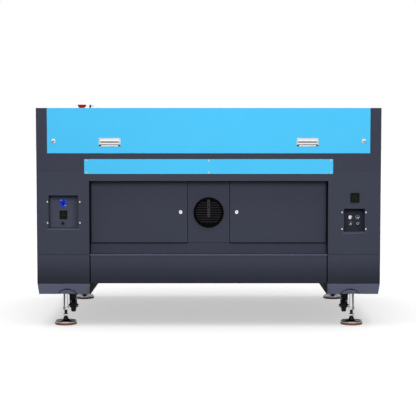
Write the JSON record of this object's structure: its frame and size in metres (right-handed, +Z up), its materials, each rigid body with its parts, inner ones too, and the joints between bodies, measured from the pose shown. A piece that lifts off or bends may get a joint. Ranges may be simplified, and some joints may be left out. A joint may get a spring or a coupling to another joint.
{
  "type": "laser engraver",
  "caption": "Floor-standing laser engraver cabinet with hinged covers and lid, service bay with doors and exhaust, moving gantry and bed, casters and levelling feet.",
  "frame": {"origin": "on the floor, under the middle of the cabinet", "axes": "+Z up, +Y towards the service side with the exhaust, +X towards the operator's right"},
  "size_m": [1.54, 1.0501, 1.014],
  "materials": {
    "cabinet_paint": "textured dark slate powder coat",
    "upper_paint": "textured dark slate powder coat",
    "bay_paint": "textured dark slate powder coat",
    "blue_paint": "smooth sky-blue powder coat",
    "galvanised": "galvanised sheet",
    "console_paint": "textured dark slate powder coat",
    "display": "black housing with a dark screen",
    "screw_steel": "zinc-plated pan heads",
    "box_paint": "dark powder coat",
    "blue_plastic": "blue moulded plastic",
    "black_plastic": "black moulded plastic",
    "fitting_metal": "machined fittings",
    "grille_plastic": "black moulded grille",
    "fan_metal": "black fan casing",
    "tube_glass": "clear glass tube",
    "optics_metal": "anodised mirror holders",
    "guide_steel": "ground rails and screws",
    "motor_black": "black motor shells",
    "electronics_metal": "metal cases",
    "zinc": "bright zinc plate",
    "latch_chrome": "bright chrome",
    "lock_chrome": "bright chrome",
    "lid_paint": "textured dark slate powder coat",
    "tinted_acrylic": "amber tinted acrylic",
    "handle_metal": "satin steel bar",
    "strut_black": "black gas strut",
    "strut_rod": "polished rod",
    "beam_metal": "anodised extrusion",
    "head_metal": "red anodised head",
    "bed_paint": "grey powder coat",
    "honeycomb_metal": "aluminium honeycomb",
    "door_paint": "textured dark slate powder coat",
    "estop_red": "red moulded button",
    "key_metal": "plated key",
    "switch_green": "green push button",
    "impeller_plastic": "grey moulded blades",
    "shaft_steel": "ground shaft and pulleys",
    "caster_black": "black fork",
    "wheel_rubber": "black tread",
    "foot_metal": "chrome foot on a brown rubber pad"
  },
  "bodies": {
    "cabinet": {"lower_body": "cabinet_paint", "upper_body": "upper_paint", "rear_recess_wall": "bay_paint", "tube_bay_tray": "galvanised", "control_console": "console_paint", "display_panel": "display", "passthrough_cover": "blue_paint", "panel_screws": "screw_steel", "connection_boxes": "box_paint", "data_port": "blue_plastic", "power_sockets": "black_plastic", "hose_fittings": "fitting_metal", "exhaust_grille": "grille_plastic", "fan_housing": "fan_metal", "laser_tube": "tube_glass", "optics_mounts": "optics_metal", "linear_guides": "guide_steel", "drive_motors": "motor_black", "electronics": "electronics_metal", "foot_caster_mounts": "zinc"},
    "rear_cover": {"rear_cover": "blue_paint", "latch_bezels": "latch_chrome"},
    "left_latch": {"left_latch_paddle": "latch_chrome"},
    "right_latch": {"right_latch_paddle": "latch_chrome"},
    "left_cam_lock": {"left_cam_lock": "lock_chrome"},
    "right_cam_lock": {"right_cam_lock": "lock_chrome"},
    "lid": {"lid_frame": "lid_paint", "lid_window": "tinted_acrylic", "lid_handle": "handle_metal"},
    "left_strut_cylinder": {"left_strut_cylinder": "strut_black"},
    "right_strut_cylinder": {"right_strut_cylinder": "strut_black"},
    "left_strut_rod": {"left_strut_rod": "strut_rod"},
    "right_strut_rod": {"right_strut_rod": "strut_rod"},
    "gantry": {"gantry_beam": "beam_metal"},
    "laser_head": {"laser_head": "head_metal"},
    "bed": {"bed_frame": "bed_paint", "honeycomb": "honeycomb_metal"},
    "rear_left_door": {"rear_left_door": "door_paint"},
    "rear_right_door": {"rear_right_door": "door_paint"},
    "left_door_lock": {"left_door_lock": "lock_chrome"},
    "right_door_lock": {"right_door_lock": "lock_chrome"},
    "front_flap": {"front_flap": "blue_paint"},
    "front_door": {"front_door": "door_paint"},
    "estop": {"estop_button": "estop_red"},
    "key": {"key_switch": "key_metal"},
    "laser_switch": {"laser_switch": "switch_green"},
    "impeller": {"fan_impeller": "impeller_plastic"},
    "y_drive_shaft": {"y_drive_shaft": "shaft_steel"},
    "caster_fork_1": {"caster_fork_1": "caster_black"},
    "caster_wheel_1": {"caster_wheel_1": "wheel_rubber"},
    "levelling_foot_1": {"levelling_foot_1": "foot_metal"},
    "caster_fork_2": {"caster_fork_2": "caster_black"},
    "caster_wheel_2": {"caster_wheel_2": "wheel_rubber"},
    "levelling_foot_2": {"levelling_foot_2": "foot_metal"},
    "caster_fork_3": {"caster_fork_3": "caster_black"},
    "caster_wheel_3": {"caster_wheel_3": "wheel_rubber"},
    "levelling_foot_3": {"levelling_foot_3": "foot_metal"},
    "caster_fork_4": {"caster_fork_4": "caster_black"},
    "caster_wheel_4": {"caster_wheel_4": "wheel_rubber"},
    "levelling_foot_4": {"levelling_foot_4": "foot_metal"}
  },
  "joints": [
    {"name": "rear_cover_hinge", "type": "hinge", "parent": "cabinet", "child": "rear_cover", "pos_m": [0, 0.303, 0.985], "axis": [1, 0, 0], "range_deg": [0, 80]},
    {"name": "left_latch_pull", "type": "hinge", "parent": "rear_cover", "child": "left_latch", "pos_m": [-0.4416, 0.51575, 0.8434], "axis": [1, 0, 0], "range_deg": [0, 35], "stiffness_Nm_per_rad": 0.3},
    {"name": "right_latch_pull", "type": "hinge", "parent": "rear_cover", "child": "right_latch", "pos_m": [0.4416, 0.51575, 0.8434], "axis": [1, 0, 0], "range_deg": [0, 35], "stiffness_Nm_per_rad": 0.3},
    {"name": "left_cam_turn", "type": "hinge", "parent": "rear_cover", "child": "left_cam_lock", "pos_m": [-0.692, 0.515, 0.838], "axis": [0, -1, 0], "range_deg": [0, 90]},
    {"name": "right_cam_turn", "type": "hinge", "parent": "rear_cover", "child": "right_cam_lock", "pos_m": [0.692, 0.515, 0.838], "axis": [0, 1, 0], "range_deg": [0, 90]},
    {"name": "lid_hinge", "type": "hinge", "parent": "cabinet", "child": "lid", "pos_m": [0, 0.284, 0.985], "axis": [-1, 0, 0], "range_deg": [0, 65]},
    {"name": "left_strut_swing", "type": "hinge", "parent": "cabinet", "child": "left_strut_cylinder", "pos_m": [-0.52, 0.21, 0.915], "axis": [-1, 0, 0], "range_deg": [0, 67.4]},
    {"name": "left_strut_extend", "type": "slide", "parent": "left_strut_cylinder", "child": "left_strut_rod", "axis": [0, -0.9869, 0.1615], "range_m": [0, 0.1102]},
    {"name": "right_strut_swing", "type": "hinge", "parent": "cabinet", "child": "right_strut_cylinder", "pos_m": [0.52, 0.21, 0.915], "axis": [-1, 0, 0], "range_deg": [0, 67.4]},
    {"name": "right_strut_extend", "type": "slide", "parent": "right_strut_cylinder", "child": "right_strut_rod", "axis": [0, -0.9869, 0.1615], "range_m": [0, 0.1102]},
    {"name": "gantry_travel", "type": "slide", "parent": "cabinet", "child": "gantry", "axis": [0, 1, 0], "range_m": [-0.44, 0.03]},
    {"name": "head_travel", "type": "slide", "parent": "gantry", "child": "laser_head", "axis": [1, 0, 0], "range_m": [-0.27, 0.63]},
    {"name": "drive_shaft_turn", "type": "hinge", "parent": "cabinet", "child": "y_drive_shaft", "pos_m": [0, -0.47, 0.79], "axis": [1, 0, 0], "range_deg": [-230, 1820]},
    {"name": "bed_lift", "type": "slide", "parent": "cabinet", "child": "bed", "axis": [0, 0, 1], "range_m": [-0.2, 0]},
    {"name": "rear_left_door_hinge", "type": "hinge", "parent": "cabinet", "child": "rear_left_door", "pos_m": [-0.529, 0.4565, 0.516], "axis": [0, 0, 1], "range_deg": [0, 90]},
    {"name": "rear_right_door_hinge", "type": "hinge", "parent": "cabinet", "child": "rear_right_door", "pos_m": [0.529, 0.4565, 0.516], "axis": [0, 0, -1], "range_deg": [0, 90]},
    {"name": "left_door_lock_turn", "type": "hinge", "parent": "rear_left_door", "child": "left_door_lock", "pos_m": [-0.127, 0.4535, 0.516], "axis": [0, 1, 0], "range_deg": [0, 90]},
    {"name": "right_door_lock_turn", "type": "hinge", "parent": "rear_right_door", "child": "right_door_lock", "pos_m": [0.127, 0.4535, 0.516], "axis": [0, -1, 0], "range_deg": [0, 90]},
    {"name": "front_flap_hinge", "type": "hinge", "parent": "cabinet", "child": "front_flap", "pos_m": [0, -0.5185, 0.757], "axis": [-1, 0, 0], "range_deg": [0, 85]},
    {"name": "front_door_hinge", "type": "hinge", "parent": "cabinet", "child": "front_door", "pos_m": [-0.432, -0.5185, 0.442], "axis": [0, 0, -1], "range_deg": [0, 110]},
    {"name": "estop_press", "type": "slide", "parent": "cabinet", "child": "estop", "axis": [0, 0, 1], "range_m": [-0.006, 0], "stiffness_N_per_m": 2000},
    {"name": "key_turn", "type": "hinge", "parent": "cabinet", "child": "key", "pos_m": [0.605, -0.285, 1], "axis": [0, 0, 1], "range_deg": [-90, 0]},
    {"name": "laser_switch_press", "type": "slide", "parent": "cabinet", "child": "laser_switch", "axis": [0, 0, 1], "range_m": [-0.003, 0], "stiffness_N_per_m": 800},
    {"name": "impeller_spin", "type": "hinge", "parent": "cabinet", "child": "impeller", "pos_m": [0, 0.38, 0.515], "axis": [0, 1, 0], "continuous": true},
    {"name": "caster_swivel_1", "type": "hinge", "parent": "cabinet", "child": "caster_fork_1", "pos_m": [0.629, 0.34, 0.13], "axis": [0, 0, 1], "continuous": true},
    {"name": "caster_roll_1", "type": "hinge", "parent": "caster_fork_1", "child": "caster_wheel_1", "pos_m": [0.629, 0.324, 0.071], "axis": [1, 0, 0], "continuous": true},
    {"name": "foot_adjust_1", "type": "slide", "parent": "cabinet", "child": "levelling_foot_1", "axis": [0, 0, 1], "range_m": [-0.035, 0]},
    {"name": "caster_swivel_2", "type": "hinge", "parent": "cabinet", "child": "caster_fork_2", "pos_m": [-0.629, 0.34, 0.13], "axis": [0, 0, 1], "continuous": true},
    {"name": "caster_roll_2", "type": "hinge", "parent": "caster_fork_2", "child": "caster_wheel_2", "pos_m": [-0.629, 0.324, 0.071], "axis": [1, 0, 0], "continuous": true},
    {"name": "foot_adjust_2", "type": "slide", "parent": "cabinet", "child": "levelling_foot_2", "axis": [0, 0, 1], "range_m": [-0.035, 0]},
    {"name": "caster_swivel_3", "type": "hinge", "parent": "cabinet", "child": "caster_fork_3", "pos_m": [0.629, -0.34, 0.13], "axis": [0, 0, 1], "continuous": true},
    {"name": "caster_roll_3", "type": "hinge", "parent": "caster_fork_3", "child": "caster_wheel_3", "pos_m": [0.629, -0.324, 0.071], "axis": [1, 0, 0], "continuous": true},
    {"name": "foot_adjust_3", "type": "slide", "parent": "cabinet", "child": "levelling_foot_3", "axis": [0, 0, 1], "range_m": [-0.035, 0]},
    {"name": "caster_swivel_4", "type": "hinge", "parent": "cabinet", "child": "caster_fork_4", "pos_m": [-0.629, -0.34, 0.13], "axis": [0, 0, 1], "continuous": true},
    {"name": "caster_roll_4", "type": "hinge", "parent": "caster_fork_4", "child": "caster_wheel_4", "pos_m": [-0.629, -0.324, 0.071], "axis": [1, 0, 0], "continuous": true},
    {"name": "foot_adjust_4", "type": "slide", "parent": "cabinet", "child": "levelling_foot_4", "axis": [0, 0, 1], "range_m": [-0.035, 0]}
  ],
  "couplings": [
    {"joint": "drive_shaft_turn", "follows": "gantry_travel", "rad_per_m": -71.429},
    {"joint": "left_strut_swing", "follows": "lid_hinge", "ratio": 1.0208},
    {"joint": "left_strut_extend", "follows": "lid_hinge", "m_per_rad": 0.096245},
    {"joint": "right_strut_swing", "follows": "lid_hinge", "ratio": 1.0208},
    {"joint": "right_strut_extend", "follows": "lid_hinge", "m_per_rad": 0.096245}
  ]
}
